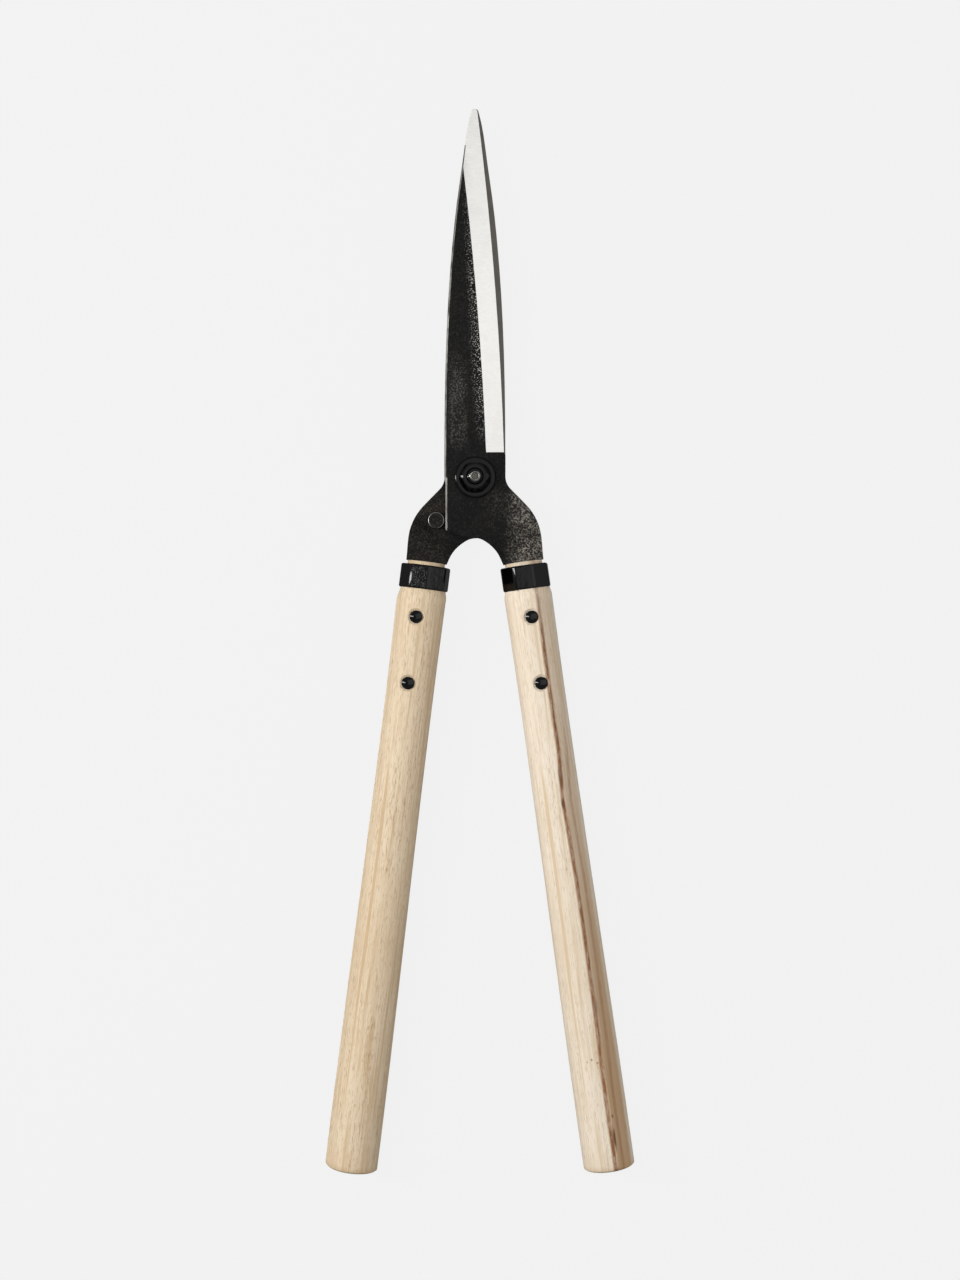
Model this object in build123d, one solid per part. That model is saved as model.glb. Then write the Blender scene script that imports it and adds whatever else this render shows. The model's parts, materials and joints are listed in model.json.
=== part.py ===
from build123d import *
from math import cos, hypot, radians, sin, tan
import os

# Hedge shears, lying flat with the nut side up.
# Two equal forged blades turn on one bolt. Each runs into a tang inside a round oak handle.
# The parts are built with the pivot at X0 Y0 and the plane between the blades at Z0.
# X runs across, Y runs towards the blade tips and Z runs along the bolt towards the nut.
# At the end all parts move together, so that the origin is the middle of the bottom of the whole.

# ---- fits ----
RUN_CLEAR = 0.05        # radial running clearance of the front blade on the bolt
FACE_CLEAR = 0.05       # from the middle plane to each blade, and from the front blade to the washer
SEAT_CLEAR = 0.05       # radial clearance of parts that are pressed or clamped together
WOOD_CLEAR = 0.15       # clearance of steel let into wood

# ---- blades ----
BLADE_LENGTH = 197.4    # pivot to tip
HEAD_HALF = 16.3        # half width of the blade at the pivot
SPINE_RUNOUT = 7.6      # how far past the tip the curve of the back would meet the centre line
SPINE_POWER = 2.7       # how late the back curves in: 2 is a parabola
HEAD_THICK = 5.0        # blade thickness at the pivot
TIP_THICK = 2.2         # blade thickness at the tip
TAPER_START = 16.0      # from the pivot to where the blade starts to thin
EDGE_LAND = 0.45        # thickness left at the cutting edge
HEEL_Y = 13.4           # from the pivot to the heel of the cutting edge
HEEL_HALF = HEAD_HALF - 0.8     # centre line to the cutting edge at the heel
HEEL_RUN = 1.5          # length over which the heel steps in from the head
EDGE_SAG = 2.2          # how far the cutting edge bows out from a straight line
TIP_HALF = 1.7          # half width of the rounded tip
BEVEL_HEEL = 9.5        # width of the ground bevel at the heel
BEVEL_TIP = 11.4        # width of the ground bevel at the tip
SPINE_CHAMFER = 0.9     # chamfer along the back of the blade

# ---- head, tail and shoulder of each blade ----
TAIL_HALF = HEAD_HALF - 0.6     # centre line to the straight side of the tail
NOTCH_Y = -32.0         # top of the notch between the two shoulders
TAIL_Y = NOTCH_Y + 3.7  # corner of the tail
TAIL_CUT = 0.8          # small cut across the corner of the tail
SIDE_BLEND = 4.0        # length over which the side of the head runs into the tail and the throat
CRANK_GAP = 3.8         # from the furthest corner of the tail to where the shoulder starts to step
CRANK_RUN = 9.3         # length of the step to the middle plane
NECK_X = 25.9           # middle of the neck end, where steel meets wood
NECK_Y = NOTCH_Y - 13.0
NECK_STEEL = 21.6       # width of the steel where it meets the wood
NECK_DIA = 20.0         # diameter of the wooden neck
TANG_WIDTH = 13.0
TANG_PAST = 12.9        # tang past the lower rivet
TANG_ROUND = 4.0        # corner radius at the end of the tang
TANG_ROOT = 3.0         # how far the tang reaches back into the neck
RIGHT_SPLAY = 8.1       # degrees between the right handle and the centre line
LEFT_SPLAY = 7.05       # degrees between the left handle and the centre line

# ---- pivot ----
BOLT_DIA = 8.0
BOLT_HEAD_DIA = 20.0
BOLT_HEAD_RIM = 1.0     # straight rim of the domed bolt head
BOLT_HEAD_RISE = 3.2    # dome above the rim
SQUARE_NECK = BOLT_DIA  # side of the square under the bolt head
SQUARE_DEPTH = 4.0
NUT_FLATS = 13.0
NUT_HEIGHT = 6.5
WASHER_DIA = 22.0
WASHER_THICK = 2.0
WASHER_CHAMFER = 0.7
NUT_CHAMFER = 0.7       # height of the turned corners of the nut
NUT_MOUTH = 0.4         # chamfer at the mouth of the thread
BOLT_STANDOUT = 2.0     # free bolt end above the nut
BOLT_CHAMFER = 0.8
DISH_RADIUS = 1.9       # shallow dish in the end of the bolt
DISH_FLOOR = 0.4
DISH_DEPTH = 0.4

# ---- stop pin ----
STOP_DIA = 8.8
STOP_SPIGOT_DIA = 6.0
STOP_Y = TAIL_Y + 5.45  # along the straight side of the tail
CLOSING_TRAVEL = 1.4    # degrees from rest until the tail meets the pin
STOP_BELOW_TOP = 0.6    # top of the pin below the top of the front blade
STOP_CHAMFER = 0.6

# ---- handles ----
HANDLE_LENGTH = 326.8
NECK_SHOW = 1.9         # wooden neck seen between steel and ferrule
FERRULE_WALL = 2.45     # thinnest wall of the ring, at the middle of a flat
FERRULE_LENGTH = 12.8
FERRULE_ROUND = 1.0
RIGHT_RIDGE = -17.5     # degrees from the top of the handle to its ridge, positive towards -X
LEFT_RIDGE = 79.5
RIDGE_SPREAD = 20.0     # degrees between the ridge and where its flats run into the round
UPPER_DIA = 25.8        # just below the ferrule
SHOULDER_DIA = UPPER_DIA - 1.8  # wood against the ferrule
WAIST_DIA = 25.0
LOWER_DIA = 27.0
END_DIA = 27.2
UPPER_AT = 12.0         # length below the ferrule where the wood is rounded down to it
WAIST_AT = 110.0        # below the ferrule
LOWER_AT = 67.0         # above the end
END_ROUND = 3.2

# ---- handle rivets ----
RIVET_DIA = 4.0
RIVET_HEAD_DIA = 6.8
RIVET_HEAD_RIM = 0.5
RIVET_HEAD_RISE = 1.2
RIVET_SINK = 0.9        # head seat below the surface of the wood
RIVET_FIRST = 29.7      # from the neck end
RIVET_PITCH = 35.4
LEFT_RIVET_OFFSET = 1.6     # rivets off the middle of the left handle, away from the centre line
RIGHT_RIVET_OFFSET = 0.0

TANG_LENGTH = RIVET_FIRST + RIVET_PITCH + TANG_PAST
FERRULE_FLATS = NECK_DIA + 2 * (SEAT_CLEAR + FERRULE_WALL)
CRANK_START = max(hypot(TAIL_HALF, TAIL_Y), -NOTCH_Y) + CRANK_GAP   # distances from the pivot
CRANK_END = CRANK_START + CRANK_RUN
TALL = 80.0             # height of the cutting solids
FRONT_LOW = FACE_CLEAR
FRONT_TOP = FACE_CLEAR + HEAD_THICK


def spine_half(y):
    """Half width of the blade outline on its back, y above the pivot."""
    return HEAD_HALF * (1 - (max(y, 0.0) / (BLADE_LENGTH + SPINE_RUNOUT)) ** SPINE_POWER)


# The tip is round. Its ends lie on the back and on the cutting edge.
TIP_Y = BLADE_LENGTH - TIP_HALF
EDGE_TIP_X = TIP_HALF - 0.4


def edge_half(y):
    """Centre line to the cutting edge, a shallow parabola from heel to tip."""
    t = (y - HEEL_Y) / (TIP_Y - HEEL_Y)
    return HEEL_HALF + (EDGE_TIP_X - HEEL_HALF) * t + 4 * EDGE_SAG * t * (1 - t)


def blade_thick(y):
    """Blade thickness, y above the pivot."""
    t = (y - TAPER_START) / (BLADE_LENGTH - TAPER_START)
    return HEAD_THICK + (TIP_THICK - HEAD_THICK) * max(t, 0.0)


def handle_axis(side, splay):
    """Direction down a handle. side is 1 for the right and -1 for the left."""
    return Vector(side * sin(radians(splay)), -cos(radians(splay)), 0)


def handle_plane(side, splay, down=0.0):
    """Plane across a handle, its X towards the top of the tool and its Z down the handle."""
    axis = handle_axis(side, splay)
    start = Vector(side * NECK_X, NECK_Y, 0) + axis * down
    return Plane(origin=start, x_dir=(0, 0, 1), z_dir=axis)


def between(start, end, share_x, share_y):
    """Point part of the way from start to end, with its own share across and along."""
    return Vector(start.X + (end.X - start.X) * share_x, start.Y + (end.Y - start.Y) * share_y)


def plan_outline(splay):
    """Outline of the front blade seen from the nut side, from the tip round to the tip."""
    axis = handle_axis(1, splay)
    across = Vector(-axis.Y, axis.X, 0)
    neck = Vector(NECK_X, NECK_Y, 0)
    neck_out = neck + across * (NECK_STEEL / 2)
    neck_in = neck - across * (NECK_STEEL / 2)
    spine_step = TIP_Y / 8
    spine_pts = [(-spine_half(TIP_Y - i * spine_step), TIP_Y - i * spine_step) for i in range(9)]
    edge_step = (TIP_Y - HEEL_Y) / 6
    edge_pts = [(edge_half(HEEL_Y + i * edge_step), HEEL_Y + i * edge_step) for i in range(7)]
    heel_low = HEEL_Y - HEEL_RUN
    throat = Vector(HEAD_HALF + 0.3, -2.0)          # side of the head just above the shoulder
    arm_low = Vector(HEAD_HALF + 2.6, -6.0)         # straight run from the head out to the shoulder
    arm_high = Vector(HEAD_HALF + 8.9, -12.4)
    notch = Vector(-0.5, NOTCH_Y)
    corner = Vector(-TAIL_HALF + TAIL_CUT, TAIL_Y)
    arch_high = between(notch, neck_in, 0.37, 0.12)
    arch_low = between(notch, neck_in, 0.77, 0.51)
    shoulder_high = between(arm_high, neck_out, 0.53, 0.23)
    shoulder_low = between(arm_high, neck_out, 0.85, 0.51)
    run = [
        Spline(*spine_pts, tangents=[(-1, -3.2), (0, -1)]),
        Line((-HEAD_HALF, 0), (-TAIL_HALF, -SIDE_BLEND)),
        Line((-TAIL_HALF, -SIDE_BLEND), (-TAIL_HALF, TAIL_Y + TAIL_CUT)),
        Line((-TAIL_HALF, TAIL_Y + TAIL_CUT), corner),
        Spline(corner, between(corner, notch, 0.31, 0.51), notch, tangents=[(1, -0.35), (1, 0)]),
        Spline(notch, arch_high, arch_low, neck_in, tangents=[(1, 0), (axis.X + 0.3, axis.Y)]),
        Line(neck_in, neck_out),
        Spline(neck_out, shoulder_low, shoulder_high, arm_high, tangents=[-axis, (-1, 1)]),
        Line(arm_high, arm_low),
        Spline(arm_low, throat, (HEAD_HALF, SIDE_BLEND), tangents=[(-1, 1), (0, 1)]),
        Line((HEAD_HALF, SIDE_BLEND), (HEAD_HALF, heel_low)),
        Line((HEAD_HALF, heel_low), (HEEL_HALF, HEEL_Y)),
        Spline(*edge_pts),
        ThreePointArc(edge_pts[-1], (-0.3, BLADE_LENGTH), spine_pts[0]),
    ]
    return make_face(Wire(run))


def blade_blank(splay):
    """Front blade before grinding: outline, thinned to the tip and cranked at the shoulder."""
    outline = extrude(plan_outline(splay), amount=TALL / 2, both=True)
    side = Plane.YZ * make_face(Polyline(
        (-8, FRONT_LOW),
        (BLADE_LENGTH + 5, FRONT_LOW),
        (BLADE_LENGTH + 5, FRONT_LOW + blade_thick(BLADE_LENGTH + 5)),
        (TAPER_START, FRONT_TOP),
        (-8, FRONT_TOP),
        close=True,
    ))
    blade_zone = extrude(side, amount=3 * HEAD_HALF, both=True)
    half = HEAD_THICK / 2
    reach = 2 * hypot(NECK_X, NECK_Y)
    crank = Plane.XZ * make_face(Polyline(
        (0, FRONT_LOW),
        (CRANK_START, FRONT_LOW),
        (CRANK_END, -half),
        (reach, -half),
        (reach, half),
        (CRANK_END, half),
        (CRANK_START, FRONT_TOP),
        (0, FRONT_TOP),
        close=True,
    ))
    shoulder_zone = revolve(crank, axis=Axis.Z)
    shoulder_zone -= Pos(0, TALL - 6, 0) * Box(2 * reach + 10, 2 * TALL, TALL)
    return (outline & blade_zone) + (outline & shoulder_zone)


def bevel_cutter():
    """Solid that grinds the bevel: it lies over the sloping face from the heel past the tip."""
    sections = []
    count = 9
    last = BLADE_LENGTH + 4
    for i in range(count):
        y = HEEL_Y + (last - HEEL_Y) * i / (count - 1)
        width = BEVEL_HEEL + (BEVEL_TIP - BEVEL_HEEL) * (y - HEEL_Y) / (BLADE_LENGTH - HEEL_Y)
        rise = (blade_thick(y) - EDGE_LAND) / width
        low = Vector(edge_half(y) + 4, y, FRONT_LOW + EDGE_LAND - 4 * rise)
        high = Vector(edge_half(y) - width - 3, y, FRONT_LOW + blade_thick(y) + 3 * rise)
        above_high = Vector(high.X, y, TALL / 4)
        above_low = Vector(low.X, y, TALL / 4)
        sections.append(Wire(Polyline(low, high, above_high, above_low, close=True).edges()))
    return Solid.make_loft(sections)


def chamfer_section(y, half, top):
    """Cross-section of the solid that takes the corner off the back of the blade."""
    over = 2.0
    low = (-half - over, y, top - SPINE_CHAMFER - over)
    high = (-half + SPINE_CHAMFER + over, y, top + over)
    corner = (-half - over, y, top + over)
    return Wire(Polyline(low, high, corner, close=True).edges())


def spine_cutter():
    """Chamfer along the curved back, from the pivot to where the bevel reaches the back."""
    count = 9
    last = 0.9 * BLADE_LENGTH
    sections = []
    for i in range(count):
        y = last * i / (count - 1)
        sections.append(chamfer_section(y, spine_half(y), FRONT_LOW + blade_thick(y)))
    return Solid.make_loft(sections)


def tail_cutter():
    """Chamfer along the straight side of the tail."""
    return Solid.make_loft([chamfer_section(y, TAIL_HALF, FRONT_TOP) for y in (TAIL_Y - 3, 0)])


def tang(splay):
    """Flat tang down the middle of the handle, with a rounded end and two rivet holes."""
    plane = handle_plane(1, splay)
    bar = plane * extrude(Rectangle(HEAD_THICK, TANG_WIDTH), amount=TANG_LENGTH)
    root = plane * Pos(0, 0, -TANG_ROOT) * extrude(Rectangle(HEAD_THICK, TANG_WIDTH), amount=TANG_ROOT + 1)
    far = bar.edges().filter_by(Axis.Z).sort_by(Axis.Y)[:2]
    return fillet(far, TANG_ROUND) + root


def forge_blade(splay, rivet_offset):
    """One complete blade in the front position."""
    blank = blade_blank(splay)
    ground = blank - bevel_cutter() - spine_cutter() - tail_cutter()
    forged = ground + tang(splay)
    axis = handle_axis(1, splay)
    across = Vector(-axis.Y, axis.X, 0)
    for down in (RIVET_FIRST, RIVET_FIRST + RIVET_PITCH):
        spot = Vector(NECK_X, NECK_Y, 0) + axis * down + across * rivet_offset
        forged -= Pos(spot.X, spot.Y, 0) * Cylinder(RIVET_DIA / 2 + SEAT_CLEAR, TALL)
    return forged


def domed_disc(radius, rim, rise):
    """Round head standing on Z0: a short straight rim under a shallow spherical dome."""
    ball = (radius ** 2 + rise ** 2) / (2 * rise)
    blank = Pos(0, 0, (rim + rise) / 2) * Cylinder(radius, rim + rise)
    return blank & Pos(0, 0, rim + rise - ball) * Sphere(ball)


# ---- the two blades ----
front_blade = forge_blade(RIGHT_SPLAY, RIGHT_RIVET_OFFSET)
front_blade -= Cylinder(BOLT_DIA / 2 + RUN_CLEAR, TALL)

# The stop pin stands where the straight side of the tail reaches it after the closing travel.
stop_gap = abs(STOP_Y) * tan(radians(CLOSING_TRAVEL)) + FACE_CLEAR
STOP_X = -(TAIL_HALF + stop_gap + STOP_DIA / 2)

back_blade = Rot(0, 180, 0) * forge_blade(LEFT_SPLAY, LEFT_RIVET_OFFSET)
square = SQUARE_NECK + 2 * SEAT_CLEAR
back_blade -= Box(square, square, TALL)
back_blade -= Pos(STOP_X, STOP_Y, 0) * Cylinder(STOP_SPIGOT_DIA / 2 + SEAT_CLEAR, TALL)
# The foot of the stop pin sits on a spot face, clear of the step in the shoulder.
back_blade -= Pos(STOP_X, STOP_Y, TALL / 2 - FACE_CLEAR) * Cylinder(STOP_DIA / 2 + SEAT_CLEAR, TALL)

# ---- pivot bolt, washer and nut ----
back_low = -FRONT_TOP
washer_low = FRONT_TOP + FACE_CLEAR
nut_low = washer_low + WASHER_THICK
bolt_top = nut_low + NUT_HEIGHT + BOLT_STANDOUT

bolt_head = domed_disc(BOLT_HEAD_DIA / 2, BOLT_HEAD_RIM, BOLT_HEAD_RISE)
bolt_head = Pos(0, 0, back_low) * Rot(180, 0, 0) * bolt_head
bolt_square = Pos(0, 0, back_low + SQUARE_DEPTH / 2) * Box(SQUARE_NECK, SQUARE_NECK, SQUARE_DEPTH)
bolt_shank = Pos(0, 0, (back_low + bolt_top) / 2) * Cylinder(BOLT_DIA / 2, bolt_top - back_low)
bolt_shank = chamfer(bolt_shank.edges().sort_by(Axis.Z)[-1], BOLT_CHAMFER)
bolt_dish = Pos(0, 0, bolt_top) * Cone(DISH_FLOOR, DISH_RADIUS, 2 * DISH_DEPTH)
pivot_bolt = bolt_head + bolt_square + bolt_shank - bolt_dish

pivot_washer = Pos(0, 0, washer_low + WASHER_THICK / 2) * Cylinder(WASHER_DIA / 2, WASHER_THICK)
pivot_washer = chamfer(pivot_washer.edges().sort_by(Axis.Z)[-1], WASHER_CHAMFER)
pivot_washer -= Cylinder(BOLT_DIA / 2 + 2 * SEAT_CLEAR, TALL)

nut_round = NUT_FLATS / 2 / cos(radians(30))
nut_body = Pos(0, 0, nut_low) * extrude(RegularPolygon(nut_round, 6, rotation=0), amount=NUT_HEIGHT)
nut_face = NUT_FLATS / 2 + 0.2      # radius of the flat face left by the turned corners
nut_clear = nut_round + 0.4
nut_turned = make_face(Polyline(
    (0, nut_low),
    (nut_face, nut_low),
    (nut_clear, nut_low + NUT_CHAMFER),
    (nut_clear, nut_low + NUT_HEIGHT - NUT_CHAMFER),
    (nut_face, nut_low + NUT_HEIGHT),
    (0, nut_low + NUT_HEIGHT),
    close=True,
))
pivot_nut = nut_body & revolve(Plane.XZ * nut_turned, axis=Axis.Z)
pivot_nut -= Cylinder(BOLT_DIA / 2 + SEAT_CLEAR, TALL)
nut_mouth = pivot_nut.edges().filter_by(GeomType.CIRCLE).group_by(Axis.Z)[-1].sort_by(SortBy.RADIUS)[0]
pivot_nut = chamfer(nut_mouth, NUT_MOUTH)

# ---- stop pin ----
stop_top = FRONT_TOP - STOP_BELOW_TOP
stop_low = -FACE_CLEAR
stop_pin = Pos(0, 0, (stop_low + stop_top) / 2) * Cylinder(STOP_DIA / 2, stop_top - stop_low)
stop_pin = chamfer(stop_pin.edges().sort_by(Axis.Z)[-1], STOP_CHAMFER)
stop_pin += Pos(0, 0, (back_low + stop_low) / 2) * Cylinder(STOP_SPIGOT_DIA / 2, stop_low - back_low)
stop_pin = Pos(STOP_X, STOP_Y, 0) * stop_pin


def ridge_section(dia, turn):
    """Round section with one ridge: a circle and the two flats that meet at the ridge."""
    radius = dia / 2
    spread = radians(RIDGE_SPREAD)
    peak = radius / cos(spread)
    mid = radians(turn)
    a, b = mid + spread, mid - spread
    start = (radius * cos(a), radius * sin(a))
    end = (radius * cos(b), radius * sin(b))
    top = (peak * cos(mid), peak * sin(mid))
    far = (-radius * cos(mid), -radius * sin(mid))
    return Wire([ThreePointArc(start, far, end), Line(end, top), Line(top, start)])


def oak_handle(side, splay, ridge, rivet_offset):
    """Turned neck and ridged grip, bored for the tang and the rivets."""
    shoulder = NECK_SHOW + FERRULE_LENGTH
    stations = (
        (shoulder, UPPER_DIA),
        (shoulder + WAIST_AT, WAIST_DIA),
        (HANDLE_LENGTH - LOWER_AT, LOWER_DIA),
        (HANDLE_LENGTH, END_DIA),
    )
    shapes = [Pos(0, 0, down) * ridge_section(dia, ridge) for down, dia in stations]
    grip = Solid.make_loft(shapes)
    widest = max(UPPER_DIA, WAIST_DIA, LOWER_DIA, END_DIA)
    peak = widest / 2 / cos(radians(RIDGE_SPREAD)) + 0.4
    end_flat = END_DIA / 2 - END_ROUND
    round_middle = (UPPER_DIA / 2 + 0.1, shoulder + UPPER_AT / 3)
    round_end = (peak, shoulder + UPPER_AT)
    turned = make_face([
        Line((0, shoulder), (SHOULDER_DIA / 2, shoulder)),
        ThreePointArc((SHOULDER_DIA / 2, shoulder), round_middle, round_end),
        Line(round_end, (peak, HANDLE_LENGTH - peak + end_flat)),
        RadiusArc((peak, HANDLE_LENGTH - peak + end_flat), (end_flat, HANDLE_LENGTH), -(peak - end_flat)),
        Line((end_flat, HANDLE_LENGTH), (0, HANDLE_LENGTH)),
        Line((0, HANDLE_LENGTH), (0, shoulder)),
    ])
    grip = grip & revolve(Plane.XZ * turned, axis=Axis.Z)
    neck = Pos(0, 0, shoulder / 2 + 0.5) * Cylinder(NECK_DIA / 2, shoulder + 1)
    wood = grip + neck
    slot_wide = TANG_WIDTH + 2 * WOOD_CLEAR
    slot_high = HEAD_THICK + 2 * WOOD_CLEAR
    slot_long = TANG_LENGTH + WOOD_CLEAR
    wood -= Pos(0, 0, slot_long / 2) * Box(slot_high, slot_wide, slot_long)
    for down in (RIVET_FIRST, RIVET_FIRST + RIVET_PITCH):
        spot = Pos(0, -side * rivet_offset, down) * Rot(0, 90, 0)
        wood -= spot * Cylinder(RIVET_DIA / 2 + WOOD_CLEAR, 4 * END_DIA)
        for face in (1, -1):
            pocket = Pos(0, 0, face * (rivet_seat(down) + END_DIA))
            pocket *= Cylinder(RIVET_HEAD_DIA / 2 + WOOD_CLEAR, 2 * END_DIA)
            wood -= spot * pocket
    return handle_plane(side, splay).location * wood


def rivet_seat(down):
    """Handle middle to the seat of a rivet head, down from the neck end."""
    share = (down - NECK_SHOW - FERRULE_LENGTH) / WAIST_AT
    return (UPPER_DIA + (WAIST_DIA - UPPER_DIA) * share) / 2 - RIVET_SINK


def octagon_ferrule(side, splay, ridge):
    """Thick eight-sided ring, one corner in line with the ridge of the wood."""
    radius = FERRULE_FLATS / 2 / cos(radians(22.5))
    ring = extrude(RegularPolygon(radius, 8, rotation=ridge), amount=FERRULE_LENGTH)
    ring = fillet(ring.edges().filter_by(Axis.Z), 2 * FERRULE_ROUND)
    ring = fillet(ring.faces().filter_by(Axis.Z).edges(), FERRULE_ROUND)
    ring -= Pos(0, 0, FERRULE_LENGTH / 2) * Cylinder(NECK_DIA / 2 + SEAT_CLEAR, 2 * FERRULE_LENGTH)
    return handle_plane(side, splay, NECK_SHOW).location * ring


def handle_rivet(side, splay, down, offset):
    """Rivet across the handle with a domed head at each end."""
    seat = rivet_seat(down)
    rivet = Cylinder(RIVET_DIA / 2, 2 * seat)
    for turn in (0, 180):
        head = Pos(0, 0, seat) * domed_disc(RIVET_HEAD_DIA / 2, RIVET_HEAD_RIM, RIVET_HEAD_RISE)
        rivet += Rot(turn, 0, 0) * head
    return handle_plane(side, splay, down).location * Pos(0, -side * offset, 0) * Rot(0, 90, 0) * rivet


# ---- handles, ferrules and rivets ----
shapes = {
    "front_blade": front_blade,
    "back_blade": back_blade,
    "pivot_bolt": pivot_bolt,
    "pivot_washer": pivot_washer,
    "pivot_nut": pivot_nut,
    "stop_pin": stop_pin,
}
hands = (
    ("left", -1, LEFT_SPLAY, LEFT_RIDGE, LEFT_RIVET_OFFSET),
    ("right", 1, RIGHT_SPLAY, RIGHT_RIDGE, RIGHT_RIVET_OFFSET),
)
for name, side, splay, ridge, offset in hands:
    shapes[name + "_handle"] = oak_handle(side, splay, ridge, offset)
    shapes[name + "_ferrule"] = octagon_ferrule(side, splay, ridge)
    shapes[name + "_rivet_upper"] = handle_rivet(side, splay, RIVET_FIRST, offset)
    shapes[name + "_rivet_lower"] = handle_rivet(side, splay, RIVET_FIRST + RIVET_PITCH, offset)

# ---- the origin is the middle of the bottom of the whole tool ----
whole = Compound(children=[Compound(s.solids()) for s in shapes.values()]).bounding_box()
home = Pos(-whole.center().X, -whole.center().Y, -whole.min.Z)

os.makedirs("parts", exist_ok=True)
for node, shape in shapes.items():
    export_step(home * shape, "parts/" + node + ".step")
    print(node, "solids", len(shape.solids()), "volume", round(shape.volume))
print("pivot at", home.position)
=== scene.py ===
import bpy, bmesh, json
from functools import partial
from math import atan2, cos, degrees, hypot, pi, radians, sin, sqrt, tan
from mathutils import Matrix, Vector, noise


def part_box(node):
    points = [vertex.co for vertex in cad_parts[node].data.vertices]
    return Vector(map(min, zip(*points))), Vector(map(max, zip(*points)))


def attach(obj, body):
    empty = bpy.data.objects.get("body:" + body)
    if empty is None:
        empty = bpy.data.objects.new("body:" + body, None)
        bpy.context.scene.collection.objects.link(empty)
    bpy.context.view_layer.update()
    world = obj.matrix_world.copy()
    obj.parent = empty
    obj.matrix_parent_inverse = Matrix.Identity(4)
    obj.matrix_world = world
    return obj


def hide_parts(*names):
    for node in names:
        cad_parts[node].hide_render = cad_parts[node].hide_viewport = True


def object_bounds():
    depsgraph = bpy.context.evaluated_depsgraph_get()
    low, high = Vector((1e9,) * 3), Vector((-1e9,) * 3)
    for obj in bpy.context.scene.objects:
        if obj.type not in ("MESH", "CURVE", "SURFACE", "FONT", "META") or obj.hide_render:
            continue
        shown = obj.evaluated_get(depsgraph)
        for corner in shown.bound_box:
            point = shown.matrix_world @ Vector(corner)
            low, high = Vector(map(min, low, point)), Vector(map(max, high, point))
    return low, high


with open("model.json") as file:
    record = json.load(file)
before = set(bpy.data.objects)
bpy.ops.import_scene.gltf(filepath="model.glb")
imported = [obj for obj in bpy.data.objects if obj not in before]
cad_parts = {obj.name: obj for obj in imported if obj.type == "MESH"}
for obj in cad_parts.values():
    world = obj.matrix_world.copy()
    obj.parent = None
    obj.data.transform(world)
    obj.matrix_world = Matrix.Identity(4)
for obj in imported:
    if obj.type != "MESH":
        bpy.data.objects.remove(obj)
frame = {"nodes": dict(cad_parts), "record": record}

# %% [markdown]
# # Hedge shears
# Two forged blades turn on one bolt. Each blade ends in a flat tang that is riveted into a round oak
# handle, and an eight-sided steel ring keeps the wood from splitting. The solid model of all the parts is
# already loaded, in metres. This lesson builds the surfaces that the eye sees, exactly where the solids are.

cad_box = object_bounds()
PIVOT = Vector(frame["record"]["behaviour"]["joints"][0]["pos_m"])
TO_FRAME = Matrix.Translation(PIVOT) @ Matrix.Scale(0.001, 4)
print("pivot at", [round(1000 * c, 2) for c in PIVOT], "mm")


def near_pivot(node):
    """Lowest and highest corner of a solid, in millimetres from the pivot."""
    low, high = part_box(node)
    return (low - PIVOT) * 1000, (high - PIVOT) * 1000


# %% [markdown]
# ## One place for the drawing work
# Every piece is drawn in millimetres round its own axis, which keeps the numbers readable, and one function
# then moves the mesh to its place in metres. The object itself stays at the origin, unturned and unscaled.
# Edges that turn more than 24 degrees stay crisp and all others are shaded smooth, as the eye expects of
# turned and ground metal. A broad flat facet keeps crisp edges too, or its shading would bulge.

# %% Finishing a piece
def finish_piece(bm, name, node, body, materials, place=TO_FRAME, crisp=24, flats=1e6):
    """Turn a bmesh in millimetres into an object that stands for one solid and rides on its body.

    Edges over `crisp` degrees stay crisp, and so do those of faces over `flats` square millimetres.
    """
    for edge in bm.edges:
        soft = len(edge.link_faces) == 2 and edge.calc_face_angle(0) < radians(crisp)
        edge.smooth = soft and all(face.calc_area() < flats for face in edge.link_faces)
    bmesh.ops.transform(bm, matrix=place, verts=bm.verts)
    for face in bm.faces:
        face.smooth = True
    open_edges = sum(1 for e in bm.edges if len(e.link_faces) != 2)
    mesh = bpy.data.meshes.new(name)
    bm.to_mesh(mesh)
    bm.free()
    for material in materials:
        mesh.materials.append(material)
    piece = bpy.data.objects.new(name, mesh)
    bpy.context.scene.collection.objects.link(piece)
    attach(piece, body)
    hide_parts(node)
    print(name, "has", len(mesh.polygons), "faces and", open_edges, "open edges")


def turn(bm, profile, steps=64, center=(0, 0, 0)):
    """Turn a profile of (radius, height) points once round an upright axis, as on a lathe."""
    points = [bm.verts.new((center[0] + r, center[1], center[2] + z)) for r, z in profile]
    edges = [bm.edges.new(pair) for pair in zip(points, points[1:])]
    bmesh.ops.spin(bm, geom=points + edges, cent=center, axis=(0, 0, 1), angle=2 * pi,
                   steps=steps, use_merge=True, use_duplicate=False)
    bmesh.ops.remove_doubles(bm, verts=bm.verts, dist=1e-4)
    bmesh.ops.recalc_face_normals(bm, faces=bm.faces)


def arc(center, radius, start, end, steps):
    """Points of an arc in (radius, height), from one angle to another in degrees."""
    turns = [radians(start + (end - start) * i / steps) for i in range(steps + 1)]
    return [(center[0] + radius * cos(t), center[1] + radius * sin(t)) for t in turns]


# %% [markdown]
# ## Colours and nodes
# A hex colour is written in sRGB, and the shader wants linear light, so one function converts it. One more
# function adds a node, sets it and links its inputs, so that each material below reads like a recipe.
# Patterns are measured in millimetres from the pivot, or from the top of a handle, through a Mapping node.

# %% Helpers for materials
def paint(code):
    """Linear colour from a sRGB hex code."""
    parts = [int(code[i:i + 2], 16) / 255 for i in (1, 3, 5)]
    return [c / 12.92 if c <= 0.04045 else ((c + 0.055) / 1.055) ** 2.4 for c in parts] + [1.0]


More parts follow.
